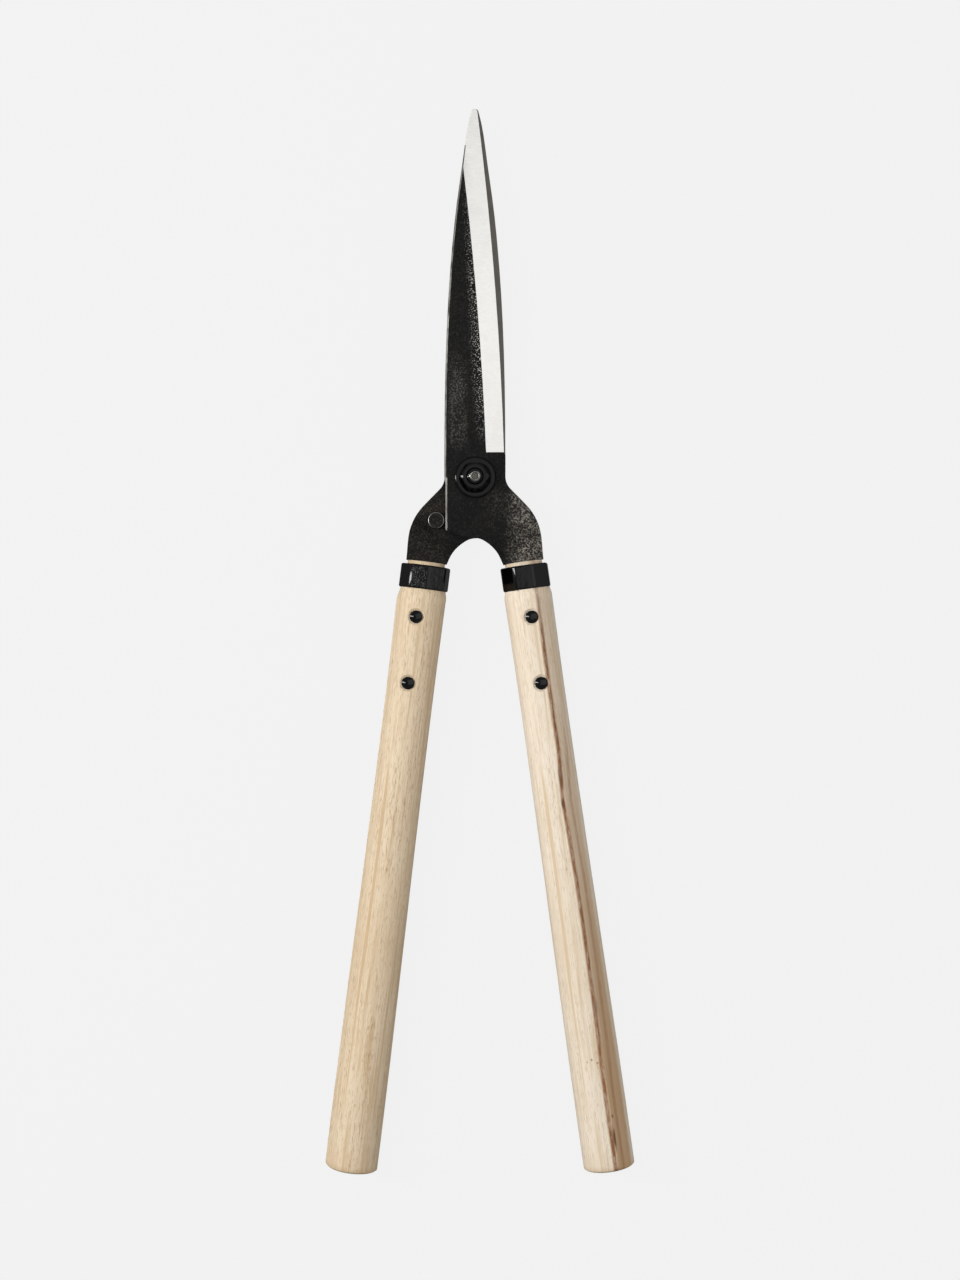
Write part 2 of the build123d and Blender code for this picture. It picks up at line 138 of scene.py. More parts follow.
def add_node(tree, kind, inputs=None, out=0, stops=None, **settings):
    """Add a node, apply its settings, set or link its inputs, and give back one of its outputs."""
    node = tree.nodes.new("ShaderNode" + kind)
    for name, value in settings.items():
        setattr(node, name, value)
    for name, value in (inputs or {}).items():
        if isinstance(value, bpy.types.NodeSocket):
            tree.links.new(value, node.inputs[name])
        else:
            node.inputs[name].default_value = value
    for i, (where, colour) in enumerate(stops or ()):
        elements = node.color_ramp.elements
        element = elements[i] if i < 2 else elements.new(where)
        element.position, element.color = where, colour
    return node.outputs[out] if len(node.outputs) else node


def new_material(name):
    """An empty material and the function that adds nodes to it."""
    material = bpy.data.materials.new(name)
    material.use_nodes = True
    material.node_tree.nodes.clear()
    return material, partial(add_node, material.node_tree)


def pattern_space(add, rotation=(0, 0, 0), offset=-1000 * PIVOT, stretch=(1, 1, 1)):
    """Object coordinates in millimetres from the pivot, or from another place, turned and stretched."""
    place = add("TexCoord", out="Object")
    place = add("Mapping", {"Vector": place, "Scale": (1000, 1000, 1000), "Rotation": rotation,
                            "Location": offset})
    return add("Mapping", {"Vector": place, "Scale": stretch})


SMOOTH = dict(interpolation_type="SMOOTHSTEP")       # settings of a Map Range, a Math and a Mix node
TIMES = dict(operation="MULTIPLY")
PLUS = dict(operation="MULTIPLY_ADD")
MIX = dict(out=2, data_type="RGBA")

# %% [markdown]
# ## Forge scale
# The body of each blade keeps the thin black skin of iron oxide that forms in the forge. It is matte, deep
# grey rather than black, clouded where the hammer and the brush thinned it, and freckled with tiny bright
# spots where bare steel shows through near the ground bevel. The skin is a dull mineral and not a metal,
# so the shader stays dielectric and only the freckles turn half metallic.

# %% Clouds, skin and grit of the scale
def scale_noises(add, where):
    """Hammer clouds 7 mm wide, brushed skin 1 mm wide and grit of just under a millimetre."""
    return [add("TexNoise", {"Vector": where, "Scale": scale, "Detail": detail, "Roughness": rough})
            for scale, detail, rough in ((0.14, 6.0, 0.62), (0.9, 5.0, 0.7), (1.1, 3.0, 0.75))]


def worn_patch(add, split, boxes):
    """Soft-edged areas, each with its fade along X, more fades (0 for X, 1 for Y) and its strength."""
    total = None
    for (low, high), ranges, strength in boxes:
        mask = add("MapRange", {0: split[0], 1: low, 2: high, 4: strength}, **SMOOTH)
        for axis, (low, high) in ranges:
            fade = add("MapRange", {0: split[axis], 1: low, 2: high}, **SMOOTH)
            mask = add("Math", {0: mask, 1: fade}, **TIMES)
        total = mask if total is None else add("Math", {0: total, 1: mask}, operation="MAXIMUM")
    return total


# %% Forge scale on the blades
LINE_LEAN, LINE_START = -0.0515, 5.9       # inner line of the front bevel: X in mm as Y grows from the pivot


def forge_scale(name, boxes, thin_colour, freckles):
    material, add = new_material(name)
    where = pattern_space(add)
    split = [add("SeparateXYZ", {0: where}, out=i) for i in (0, 1)]
    cloud, skin, grit = scale_noises(add, where)
    body = add("ValToRGB", {0: cloud}, stops=[(0.32, paint("#060606")), (0.78, paint("#161514")),
                                              (0.50, paint("#090908")), (0.64, paint("#0f0e0d"))])
    share = add("MapRange", {0: grit, 1: 0.52, 2: 0.64, 4: 0.50}, **SMOOTH)
    body = add("Mix", {0: share, 6: body, 7: paint("#2d2c29")}, **MIX)
    # thinner scale, brushed to a lighter grain
    grain = add("MapRange", {0: grit, 1: 0.46, 2: 0.62, 3: 0.05}, **SMOOTH)
    spread = add("MapRange", {0: cloud, 1: 0.36, 2: 0.62, 3: 0.45, 4: 1.0}, **SMOOTH)
    thin = add("Math", {0: add("Math", {0: grain, 1: spread}, **TIMES), 1: worn_patch(add, split, boxes)},
               **TIMES)
    body = add("Mix", {0: thin, 6: body, 7: paint(thin_colour)}, **MIX)
    # freckles of bare steel, thickest beside the bevel's inner line
    line = add("Math", {0: split[1], 1: LINE_LEAN, 2: LINE_START}, **PLUS)
    beside = add("Math", {0: split[0], 1: line}, operation="SUBTRACT")
    near = add("MapRange", {0: beside, 1: -6.0, 2: 0.5, 3: 0.03, 4: 1.0}, **SMOOTH)
    for low, high in ((14.0, 45.0), (175.0, 120.0)):
        fade = add("MapRange", {0: split[1], 1: low, 2: high}, **SMOOTH)
        near = add("Math", {0: near, 1: fade}, **TIMES)
    fleck = add("TexNoise", {"Vector": where, "Scale": 1.5, "Detail": 1.0, "Roughness": 0.5})
    fleck = add("MapRange", {0: fleck, 1: 0.57, 2: 0.64}, **SMOOTH)
    fleck = add("Math", {0: fleck, 1: near}, **TIMES)
    fleck = add("Math", {0: fleck, 1: freckles}, **TIMES)
    colour = add("Mix", {0: fleck, 6: body, 7: paint("#b5b2ac")}, **MIX)
    metal = add("Math", {0: fleck, 1: 0.5}, **TIMES)
    rough = add("MapRange", {0: skin, 1: 0.3, 2: 0.7, 3: 0.60, 4: 0.44}, **SMOOTH)
    rise = add("Math", {0: cloud, 1: 2.2, 2: skin}, **PLUS)
    rise = add("Math", {0: grit, 1: 0.6, 2: rise}, **PLUS)
    bump = add("Bump", {"Height": rise, "Strength": 0.6, "Distance": 0.00018})
    shader = add("BsdfPrincipled", {"Base Color": colour, "Metallic": metal, "Roughness": rough,
                                    "Normal": bump, "Specular IOR Level": 0.12})
    add("OutputMaterial", {"Surface": shader})
    return material


# brushed places of the front blade: the arm of the shoulder, the head below the bolt, and beside the back
front_scale = forge_scale("forge_scale_front", [
    ((14.0, 26.0), ((1, (0.0, -14.0)), (1, (-60.0, -38.0))), 1.0),
    ((2.0, 14.0), ((1, (0.0, -10.0)), (1, (-30.0, -16.0))), 0.12),
    ((-2.0, -8.0), ((0, (-16.0, -11.0)), (1, (12.0, 24.0)), (1, (72.0, 48.0))), 0.30)], "#918b82", 1.0)
# and of the back blade: the arm of the shoulder, and a spot above the stop pin
back_scale = forge_scale("forge_scale_back", [
    ((-10.0, -22.0), ((1, (-4.0, -20.0)),), 0.30),
    ((-12.0, -18.0), ((1, (-4.0, -9.0)), (1, (-26.0, -16.0))), 0.45)], "#5a5145", 0.0)
print("forge scale is ready")

# %% [markdown]
# ## Bare steel: bevel, inner face and worn back
# The bevel is ground across the blade on a fine wheel, which leaves hair-fine lines from the inner line to
# the edge. The inner face is ground along the blade and lies flat, so it mirrors the dim ceiling and looks
# darker than the bevel; its steel is also given a much darker base colour, which is painted shade. The
# chamfer along the back only lost its scale at the corner. All three are the same metal with a different
# direction and depth of line, and the inner face's copy is painted darker. Real lines are 0.05 mm apart,
# which no picture shows, so they are drawn 0.4 mm apart and faint.

# %% Ground steel
def ground_steel(name, colour, dark, rough, stretch, depth, stain):
    material, add = new_material(name)
    lines = add("TexNoise", {"Vector": pattern_space(add, stretch=stretch), "Scale": 1.0, "Detail": 4.0,
                             "Roughness": 0.6})
    cloud = add("TexNoise", {"Vector": pattern_space(add), "Scale": 0.11, "Detail": 5.0,
                             "Roughness": 0.6})
    share = add("MapRange", {0: cloud, 1: 0.42, 2: 0.72, 4: stain}, **SMOOTH)
    tone = add("Mix", {0: share, 6: paint(colour), 7: paint(dark)}, **MIX)
    share = add("MapRange", {0: lines, 1: 0.35, 2: 0.75, 4: 0.22}, **SMOOTH)
    tone = add("Mix", {0: share, 6: tone, 7: paint(dark)}, **MIX)
    gloss = add("Math", {0: lines, 1: 0.16, 2: rough - 0.08}, **PLUS)
    bump = add("Bump", {"Height": lines, "Strength": 0.35, "Distance": depth})
    shader = add("BsdfPrincipled", {"Base Color": tone, "Metallic": 1.0, "Roughness": gloss, "Normal": bump})
    add("OutputMaterial", {"Surface": shader})
    return material


bevel_steel = ground_steel("ground_bevel_steel", "#f1f0ed", "#dad7d1", 0.30, (0.12, 2.4, 1.0), 0.00002, 0.2)
# darker copy of the same steel: its low base colour is painted shade, for the inner face and the bolt's
# hollow end
dark_steel_painted_shade = ground_steel("polished_steel_painted_shade", "#625f5a", "#484541", 0.22, (2.0, 0.05, 1.0), 0.00002, 0.4)
worn_steel = ground_steel("worn_edge_steel", "#a9a6a0", "#3a3835", 0.40, (1.2, 0.4, 1.2), 0.00006, 0.9)
print("three bare steels are ready")

# %% [markdown]
# ## Blades
# A forged blade is flat on the inside, thins towards the tip and is bevelled on the outside. Its outline is
# already exact in the solid, so this piece starts as a copy of that mesh: the loose triangles are merged,
# flat neighbours are joined again, and a bisect at the heel parts the polished inner face from the scale.
# The faces are sorted by the way they look, and a small bevel takes the razor sharpness off every edge,
# which is what catches the light on real steel.

# %% Blade shape and its finishes
HEEL_Y = 13.4                # where the ground part of a blade starts, in mm from the pivot
ROUNDING = 0.16              # softened edge of a blade, in mm


def blade(node, body, side, scale_finish):
    """Copy of a forged blade with softened edges; side is +1 for the front blade and -1 for the back one."""
    bm = bmesh.new()
    bm.from_mesh(frame["nodes"][node].data)
    bmesh.ops.transform(bm, matrix=TO_FRAME.inverted(), verts=bm.verts)
    bmesh.ops.remove_doubles(bm, verts=bm.verts, dist=1e-3)
    bmesh.ops.dissolve_limit(bm, angle_limit=radians(0.6), verts=bm.verts, edges=bm.edges)
    bmesh.ops.recalc_face_normals(bm, faces=bm.faces)
    bmesh.ops.bisect_plane(bm, geom=bm.verts[:] + bm.edges[:] + bm.faces[:], dist=1e-4,
                           plane_co=(0, HEEL_Y, 0), plane_no=(0, 1, 0))
    counts = [0, 0, 0, 0]
    for face in bm.faces:
        across, up = face.normal.x * side, face.normal.z * side
        place = face.calc_center_median()
        above = place.y > HEEL_Y
        if above and up < -0.99:
            look = 2                                    # inner face
        elif above and 0.05 < across and 0.5 < up < 0.9975:
            look = 1                                    # ground bevel
        elif above and across > 0.5 and abs(up) < 0.3:
            look = 1                                    # land of the cutting edge
        elif across < -0.2 and 0.25 < up < 0.95:
            look = 3                                    # chamfer along the back
        else:
            look = 0
        face.material_index = look
        counts[look] += 1
    sharp = [e for e in bm.edges if len(e.link_faces) == 2 and e.calc_face_angle(0) > radians(28)]
    bmesh.ops.bevel(bm, geom=sharp, offset=ROUNDING, offset_type="OFFSET", affect="EDGES", segments=2,
                    profile=0.5, material=-1, clamp_overlap=True)
    print(node, "faces with scale, bevel, inner and worn finish:", counts)
    looks = [scale_finish, bevel_steel, dark_steel_painted_shade, worn_steel]
    finish_piece(bm, node + "_forged", node, body, looks, crisp=14)


blade("front_blade", "front_half", 1, front_scale)
blade("back_blade", "back_half", -1, back_scale)

# %% [markdown]
# ## Gloss black oxide
# Nut, washer, rings and rivets are blackened and oiled, which gives a deep black with a wet shine. The oil
# film fills the grain of the metal, so the highlights are sharp but slightly uneven, like orange peel. Nut
# and washer shine a little less, dulled by grit beside the blades. The bolt end is bare turned steel: bright,
# with the fine rings of the lathe tool.

# %% Black hardware and bright bolt
def black_oxide(name, shine, rough=0.06, peel=0.20):
    material, add = new_material(name)
    where = pattern_space(add)
    film = add("TexNoise", {"Vector": where, "Scale": 0.35, "Detail": 2.0, "Roughness": 0.5})
    rub = add("TexNoise", {"Vector": where, "Scale": 1.6, "Detail": 4.0, "Roughness": 0.65})
    share = add("MapRange", {0: rub, 1: 0.56, 2: 0.80, 4: 0.5}, **SMOOTH)
    colour = add("Mix", {0: share, 6: paint("#020202"), 7: paint("#0b0b0a")}, **MIX)
    gloss = add("MapRange", {0: rub, 1: 0.40, 2: 0.78, 3: rough, 4: rough + 0.14}, **SMOOTH)
    bump = add("Bump", {"Height": film, "Strength": peel, "Distance": 0.00018})
    shader = add("BsdfPrincipled", {"Base Color": colour, "Metallic": 0.0, "Roughness": gloss,
                                    "Normal": bump, "Specular IOR Level": shine, "IOR": 1.5})
    add("OutputMaterial", {"Surface": shader})
    return material


def turned_steel(name):
    """Bright bolt end with the fine rings of the lathe tool round its middle."""
    material, add = new_material(name)
    where = pattern_space(add)
    rings = add("TexWave", {"Vector": where, "Scale": 0.32, "Distortion": 0.5, "Detail": 2.0,
                            "Detail Scale": 1.2}, out="Fac", wave_type="RINGS", rings_direction="Z")
    cloud = add("TexNoise", {"Vector": where, "Scale": 0.6, "Detail": 4.0})
    share = add("MapRange", {0: cloud, 1: 0.36, 2: 0.62, 4: 0.9}, **SMOOTH)
    tone = add("Mix", {0: share, 6: paint("#c4c3bd"), 7: paint("#66655f")}, **MIX)
    tone = add("Mix", {0: add("Math", {0: rings, 1: 0.6}, **TIMES), 6: tone, 7: paint("#4c4b46")}, **MIX)
    gloss = add("MapRange", {0: rings, 1: 0.2, 2: 0.9, 3: 0.20, 4: 0.36}, **SMOOTH)
    bump = add("Bump", {"Height": rings, "Strength": 0.5, "Distance": 0.00006})
    shader = add("BsdfPrincipled", {"Base Color": tone, "Metallic": 1.0, "Roughness": gloss, "Normal": bump})
    add("OutputMaterial", {"Surface": shader})
    return material


oxide = black_oxide("gloss_black_oxide", 0.34)
oiled = black_oxide("oiled_black_oxide", 0.26)
bright = turned_steel("bright_turned_steel")
print("hardware finishes are ready")

# %% [markdown]
# ## Washer, nut and bolt
# The washer is turned, so its profile is spun round the bolt axis. The nut starts as a circle of 72 points
# that is pushed out to a hexagon: raising that ring and lowering the points by how far they stand out gives
# the curved corners that a lathe leaves on a real nut. The thread on the free end is a small ridge spun
# upwards as it turns.

# %% Washer
low, high = near_pivot("pivot_washer")
outer, bore, rim_round = (high.x - low.x) / 2, 4.05, 1.2
bm = bmesh.new()
rim = [(bore, low.z), (outer, low.z)] + arc((outer - rim_round, high.z - rim_round), rim_round, 0, 90, 9) + \
    [(8.3, high.z), (8.1, high.z - 0.06), (bore + 0.3, high.z - 0.06), (bore, high.z - 0.3), (bore, low.z)]
turn(bm, rim, steps=96)
finish_piece(bm, "washer_turned", "pivot_washer", "back_half", [oiled])

# %% Nut
low, high = near_pivot("pivot_nut")
flat = (high.y - low.y) / 2
nut_low, nut_high = low.z, high.z


def hexagon(angle):
    return flat / cos((angle % (pi / 3)) - pi / 6)


def ring_edges(bm, edges, shape):
    """Extrude a ring of edges and put each new point where shape(angle) says: (radius, height)."""
    made = bmesh.ops.extrude_edge_only(bm, edges=edges)["geom"]
    for v in (g for g in made if isinstance(g, bmesh.types.BMVert)):
        a = atan2(v.co.y, v.co.x)
        r, z = shape(a)
        v.co = (r * cos(a), r * sin(a), z)
    return [g for g in made if isinstance(g, bmesh.types.BMEdge)]


bm = bmesh.new()
bmesh.ops.create_circle(bm, cap_ends=False, segments=72, radius=4.0)
for v in bm.verts:
    v.co.z = nut_low
edges = bm.edges[:]
drop = tan(radians(30))              # slope of the lathe's cut; the upper one is a little flatter
top_round = flat - 0.25
for shape in (
        lambda a: (min(hexagon(a), flat + 0.1), nut_low),
        lambda a: (hexagon(a), nut_low + 0.15 + (hexagon(a) - flat) * drop),
        lambda a: (hexagon(a), nut_high - 0.05 - (hexagon(a) - top_round) * drop * 0.86),
        lambda a: (top_round, nut_high),
        lambda a: (4.6, nut_high),
        lambda a: (4.1, nut_high - 0.4),
        lambda a: (4.1, nut_low)):
    edges = ring_edges(bm, edges, shape)
bmesh.ops.remove_doubles(bm, verts=bm.verts, dist=0.15)
bmesh.ops.recalc_face_normals(bm, faces=bm.faces)
finish_piece(bm, "nut_hexagon", "pivot_nut", "back_half", [oiled], crisp=20)

# %% Bolt
low, high = near_pivot("pivot_bolt")
bolt_r, thread_r, head_r = 4.0, 3.97, (high.x - low.x) / 2
under_head = -5.05                   # underside of the head, on the back blade
core_r, thread_from = 3.35, 12.4     # core of the thread, and where the free end leaves the nut's thread
end_r, dish_r = 2.86, 1.75           # bright end of the bolt, and the hollow in its middle
rim_z = under_head - 1.0
dome = (head_r ** 2 + (rim_z - low.z) ** 2) / (2 * (rim_z - low.z))
sweep = degrees(atan2(head_r, dome - (rim_z - low.z)))
profile = arc((0, low.z + dome), dome, -90, -90 + sweep, 14)
profile += [(head_r, under_head - 0.2), (head_r - 0.2, under_head), (bolt_r, under_head),
            (bolt_r, thread_from), (core_r, thread_from), (core_r, high.z - 0.7), (2.85, high.z - 0.32),
            (2.3, high.z), (1.95, high.z - 0.04), (1.5, high.z - 0.4), (0.9, high.z - 0.46),
            (0.35, high.z - 0.40), (0, high.z - 0.42)]
bm = bmesh.new()
turn(bm, profile, steps=64)
pitch, turns, steps = 1.25, 2.5, 48
start_z = high.z - pitch * turns - 0.35
ridge = [bm.verts.new(p) for p in ((3.3, 0, start_z - 0.55), (thread_r, 0, start_z - 0.1),
                                   (thread_r, 0, start_z + 0.1), (3.3, 0, start_z + 0.55))]
loop = [bm.edges.new((ridge[i], ridge[(i + 1) % 4])) for i in range(4)]
before = set(bm.verts)
made = bmesh.ops.spin(bm, geom=ridge + loop, cent=(0, 0, 0), axis=(0, 0, 1), angle=2 * pi * turns,
                      dvec=(0, 0, pitch / steps), steps=int(steps * turns), use_merge=False)
thread = [v for v in bm.verts if v not in before] + ridge
bmesh.ops.edgeloop_fill(bm, edges=loop)
bmesh.ops.edgeloop_fill(bm, edges=[g for g in made["geom_last"] if isinstance(g, bmesh.types.BMEdge)])
for v in thread:
    cone = min(thread_r, thread_r - 1.1 * (v.co.z - (high.z - 1.1)))     # tapered lead of the thread
    r = hypot(v.co.x, v.co.y)
    if r > cone:
        v.co.x, v.co.y = v.co.x * cone / r, v.co.y * cone / r
    v.co.z = min(v.co.z, high.z - 0.02)
bmesh.ops.recalc_face_normals(bm, faces=bm.faces)
neck = bmesh.ops.create_cube(bm, size=8.0)["verts"]
bmesh.ops.translate(bm, verts=neck, vec=(0, 0, under_head))
for v in neck:
    v.co.z = under_head - 0.01 if v.co.z < under_head else -1.05
for face in bm.faces:
    spot = face.calc_center_median()
    blackened = spot.z > 10 and (hypot(spot.x, spot.y) > end_r or spot.z < high.z - 0.6)
    # the hollow in the bolt's end takes the darker steel: painted shade in the hollow
    dish = spot.z > 10 and hypot(spot.x, spot.y) < dish_r
    face.material_index = 1 if blackened else 2 if dish else 0
finish_piece(bm, "bolt_threaded", "pivot_bolt", "back_half", [bright, oiled, dark_steel_painted_shade],
             crisp=30)

# %% [markdown]
# ## Stop pin
# The pin that ends the closing movement is a short turned stud beside the straight tail of the front blade.
# It is drawn as pressed in before the blade is blackened, so it carries the same scale. Its corner is rubbed.

# %% Stop pin
low, high = near_pivot("stop_pin")
middle = (low + high) / 2
pin_r = (high.x - low.x) / 2
bm = bmesh.new()
profile = [(0, low.z), (3.0, low.z), (3.0, -0.05), (pin_r, -0.05)]
profile += arc((pin_r - 0.6, high.z - 0.6), 0.6, 0, 90, 5) + [(1.6, high.z), (0, high.z - 0.12)]
turn(bm, profile, steps=56, center=(middle.x, middle.y, 0))
for face in bm.faces:
    if 0.25 < face.normal.z < 0.98:
        face.material_index = 1
finish_piece(bm, "stop_pin_turned", "stop_pin", "back_half", [back_scale, worn_steel],
             crisp=30)

# %% [markdown]
# ## White oak
# Oak is ring porous: bands of open pores follow each year's growth and show as short dark dashes along the
# handle, between paler and browner bands a few millimetres wide. The wood is bare and sanded, so it is
# matte with a silky rub. Each handle has its own frame, across, up and along, so a Mapping node turns the
# pattern to run down that handle. The right handle also has a brown mineral streak beside its ridge, with a
# few small knots.

# %% A frame for each handle
def handle_frame(side):
    """Across, up and along directions of a handle, and the end of its neck, from its ring and rivets."""
    upper, lower, ring = (sum(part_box(side + part), Vector()) / 2 for part in
                          ("_rivet_upper", "_rivet_lower", "_ferrule"))
    along = lower - upper
    along.z = 0
    along.normalize()
    across = Vector((0, 0, 1)).cross(along)
    start = ring - along * 0.0083
    start.z = PIVOT.z
    down = [1000 * (spot - start).dot(along) for spot in (upper, lower)]
    beside = 1000 * (upper - start).dot(across)
    print(side, "handle leans", round(degrees(atan2(along.x, -along.y)), 2), "degrees, rivets at",
          [round(d, 1) for d in down], "mm and", round(beside, 2), "mm across")
    return across, along, start, down, beside


def local_matrix(across, along, start):
    """From millimetres in the handle's own frame to metres in the shared one."""
    up = Vector((0, 0, 1))
    turn_to = Matrix((across, up, along)).transposed().to_4x4()
    return Matrix.Translation(start) @ turn_to @ Matrix.Scale(0.001, 4)


FRAMES = {side: handle_frame(side) for side in ("left", "right")}


# %% Bands, fibres and pores
def oak_grain(add, frame_of, pale, brown, dash):
    """Colour of clean sanded oak in a handle's own frame, with its pores and fibres for the bump."""
    fibre = pattern_space(add, *frame_of, (1.0, 1.0, 0.028))
    bands = add("TexNoise", {"Vector": fibre, "Scale": 0.30, "Detail": 4.0, "Roughness": 0.55,
                             "Distortion": 0.6})
    fine = add("TexNoise", {"Vector": fibre, "Scale": 1.7, "Detail": 4.0, "Roughness": 0.65})
    tone = add("ValToRGB", {0: bands}, stops=[(0.34, paint(brown)), (0.72, paint(brown)),
                                              (0.48, paint(pale)), (0.58, paint(pale))])
    share = add("MapRange", {0: fine, 1: 0.40, 2: 0.72, 4: 0.6}, **SMOOTH)
    tone = add("Mix", {0: share, 6: tone, 7: paint(brown)}, **MIX)
    # open pores: dashes half a millimetre wide and about 4 mm long, gathered in the browner bands
    dashes = pattern_space(add, *frame_of, (2.1, 2.1, 0.26))
    pores = add("TexNoise", {"Vector": dashes, "Scale": 1.0, "Detail": 2.0, "Roughness": 0.5})
    pores = add("MapRange", {0: pores, 1: 0.53, 2: 0.64}, **SMOOTH)
    gather = add("MapRange", {0: bands, 1: 0.40, 2: 0.66, 3: 0.35, 4: 1.0}, **SMOOTH)
    pores = add("Math", {0: pores, 1: gather}, **TIMES)
    tone = add("Mix", {0: add("Math", {0: pores, 1: dash}, **TIMES), 6: tone, 7: paint("#9c7650")}, **MIX)
    return tone, pores, fine


# %% Mineral streak and knots
STREAK = ((0, 4.7), (67, 3.8), (102, 4.0), (128, 2.6), (152, 3.3), (170, 3.8), (215, 3.8), (250, 3.5),
          (288, 2.8), (326, 2.9))          # millimetres along the handle, and to the right of its middle
STREAK_LONG, STREAK_WIDE = 326, 6.0        # the colour ramp runs from 0 to 1, so both are shares of these
KNOTS = ((2.6, 130.0, 1.3, 4.0, 0.95), (3.1, 116.0, 1.7, 9.0, 0.65), (4.4, 238.0, 1.9, 6.5, 0.35),
         (-1.8, 266.0, 0.7, 1.0, 0.7), (1.2, 268.0, 1.0, 0.8, 0.55), (-4.2, 267.0, 0.5, 0.8, 0.5),
         (4.4, 309.0, 1.2, 8.5, 0.9), (5.0, 297.0, 0.8, 1.2, 0.7))    # across, along, half sizes, depth


def mineral_streak(add, frame_of, where, split, tone):
    """Brown line along the ridge, a fainter one, knots, and a tan of stain and painted shade to its right."""
    facing = add("MapRange", {0: split[1], 1: 5.0, 2: 8.5}, **SMOOTH)
    ragged = add("TexNoise", {"Vector": pattern_space(add, *frame_of, (0.9, 0.9, 0.16)), "Scale": 1.0,
                              "Detail": 5.0, "Roughness": 0.7})
    along = add("Math", {0: split[2], 1: 1 / STREAK_LONG}, **TIMES)
    ordered = [STREAK[0], STREAK[-1]] + list(STREAK[1:-1])
    line = add("ValToRGB", {0: along}, stops=[(down / STREAK_LONG, [across / STREAK_WIDE] * 3 + [1])
                                              for down, across in ordered])
    line = add("Math", {0: line, 1: STREAK_WIDE, 2: -0.45}, **PLUS)
    line = add("Math", {0: ragged, 1: 0.9, 2: line}, **PLUS)
    away = add("Math", {0: split[0], 1: line}, operation="SUBTRACT")
    # right of the line: stain from the streak and painted shade on the side away from the key light
    tan_stain_and_shade = add("MapRange", {0: away, 1: -0.4, 2: 2.6}, **SMOOTH)
    deeper = add("MapRange", {0: split[2], 1: 20.0, 2: 290.0, 3: 0.25, 4: 0.85}, **SMOOTH)
    tan_stain_and_shade = add("Math", {0: add("Math", {0: tan_stain_and_shade, 1: deeper}, **TIMES), 1: facing}, **TIMES)
    tone = add("Mix", {0: tan_stain_and_shade, 6: tone, 7: paint("#b48e64")}, **MIX)
    for offset, width, depth, start in ((0.0, 1.7, 1.0, 4.0), (-4.3, 1.3, 0.45, 70.0)):
        gap = add("Math", {0: add("Math", {0: away, 1: offset}, operation="ADD")}, operation="ABSOLUTE")
        mask = add("MapRange", {0: gap, 1: width, 2: width * 0.2, 4: depth}, **SMOOTH)
        vary = add("MapRange", {0: ragged, 1: 0.34, 2: 0.56, 3: 0.60, 4: 1.0}, **SMOOTH)
        least = 0.45 if offset == 0 else 0.0        # the main line is never quite gone
        fade = add("MapRange", {0: split[2], 1: start, 2: start + 45.0, 3: least}, **SMOOTH)
        for factor in (vary, fade, facing):
            mask = add("Math", {0: mask, 1: factor}, **TIMES)
        tone = add("Mix", {0: mask, 6: tone, 7: paint("#855327")}, **MIX)
    for across, down, wide, long, deep in KNOTS:
        gap = add("VectorMath", {0: where, 1: (across, 0.0, down)}, operation="SUBTRACT")
        gap = add("VectorMath", {0: gap, 1: (1 / wide, 0.0, 1 / long)}, operation="MULTIPLY")
        size = add("VectorMath", {0: gap}, out="Value", operation="LENGTH")
        size = add("Math", {0: ragged, 1: 1.2, 2: size}, **PLUS)
        spot = add("MapRange", {0: size, 1: 1.6, 2: 0.9, 4: deep}, **SMOOTH)
        spot = add("Math", {0: spot, 1: facing}, **TIMES)
        tone = add("Mix", {0: spot, 6: tone, 7: paint("#65401f")}, **MIX)
    return tone


# %% Oak material
def white_oak(name, side, pale, brown, dash, streak=False):
    across, along, start = FRAMES[side][:3]
    rows = Matrix((across, Vector((0, 0, 1)), along))
    frame_of = (rows.to_euler("XYZ"), -1000 * (rows @ start))
    material, add = new_material(name)
    where = pattern_space(add, *frame_of)
    split = [add("SeparateXYZ", {0: where}, out=i) for i in (0, 1, 2)]
    tone, pores, fine = oak_grain(add, frame_of, pale, brown, dash)
    # slow change from end to end, and a little browner at the neck and on the end grain
    drift = add("TexNoise", {"Vector": where, "Scale": 0.017, "Detail": 2.0})
    share = add("MapRange", {0: drift, 1: 0.35, 2: 0.75, 4: 0.4}, **SMOOTH)
    tone = add("Mix", {0: share, 6: tone, 7: paint(brown)}, **MIX)
    for low, high, depth in ((9.0, 0.0, 0.30), (322.0, 327.0, 0.55)):
        share = add("MapRange", {0: split[2], 1: low, 2: high, 4: depth}, **SMOOTH)
        tone = add("Mix", {0: share, 6: tone, 7: paint("#b3956c")}, **MIX)
    if streak:
        tone = mineral_streak(add, frame_of, where, split, tone)
    rise = add("Math", {0: pores, 1: -0.8, 2: fine}, **PLUS)
    bump = add("Bump", {"Height": rise, "Strength": 0.4, "Distance": 0.00015})
    rough = add("MapRange", {0: fine, 1: 0.3, 2: 0.7, 3: 0.50, 4: 0.66}, **SMOOTH)
    shader = add("BsdfPrincipled", {"Base Color": tone, "Roughness": rough, "Normal": bump,
                                    "Specular IOR Level": 0.35, "IOR": 1.5, "Sheen Weight": 0.05})
    add("OutputMaterial", {"Surface": shader})
    return material


oak = {"left": white_oak("white_oak_left", "left", "#e5d2b5", "#ccb08b", 0.56),
       "right": white_oak("white_oak_right", "right", "#f2e5d2", "#dcc5a5", 0.34, streak=True)}
print("oak is ready for both handles")

# %% [markdown]
# ## Handles
# Each handle is shaved round from square stock, which leaves one soft ridge where two flats meet. It is
# slimmest below the rivets and swells towards the end, so that the hands don't slip off. The shape is one
# circle of 144 points, extruded ring by ring: every ring takes its radius from the handle's diameter at
# that place, and the points near the ridge are pushed out to the two flats. Close rings near the rivets
# let the wood dip where the hammered heads have pressed it in.

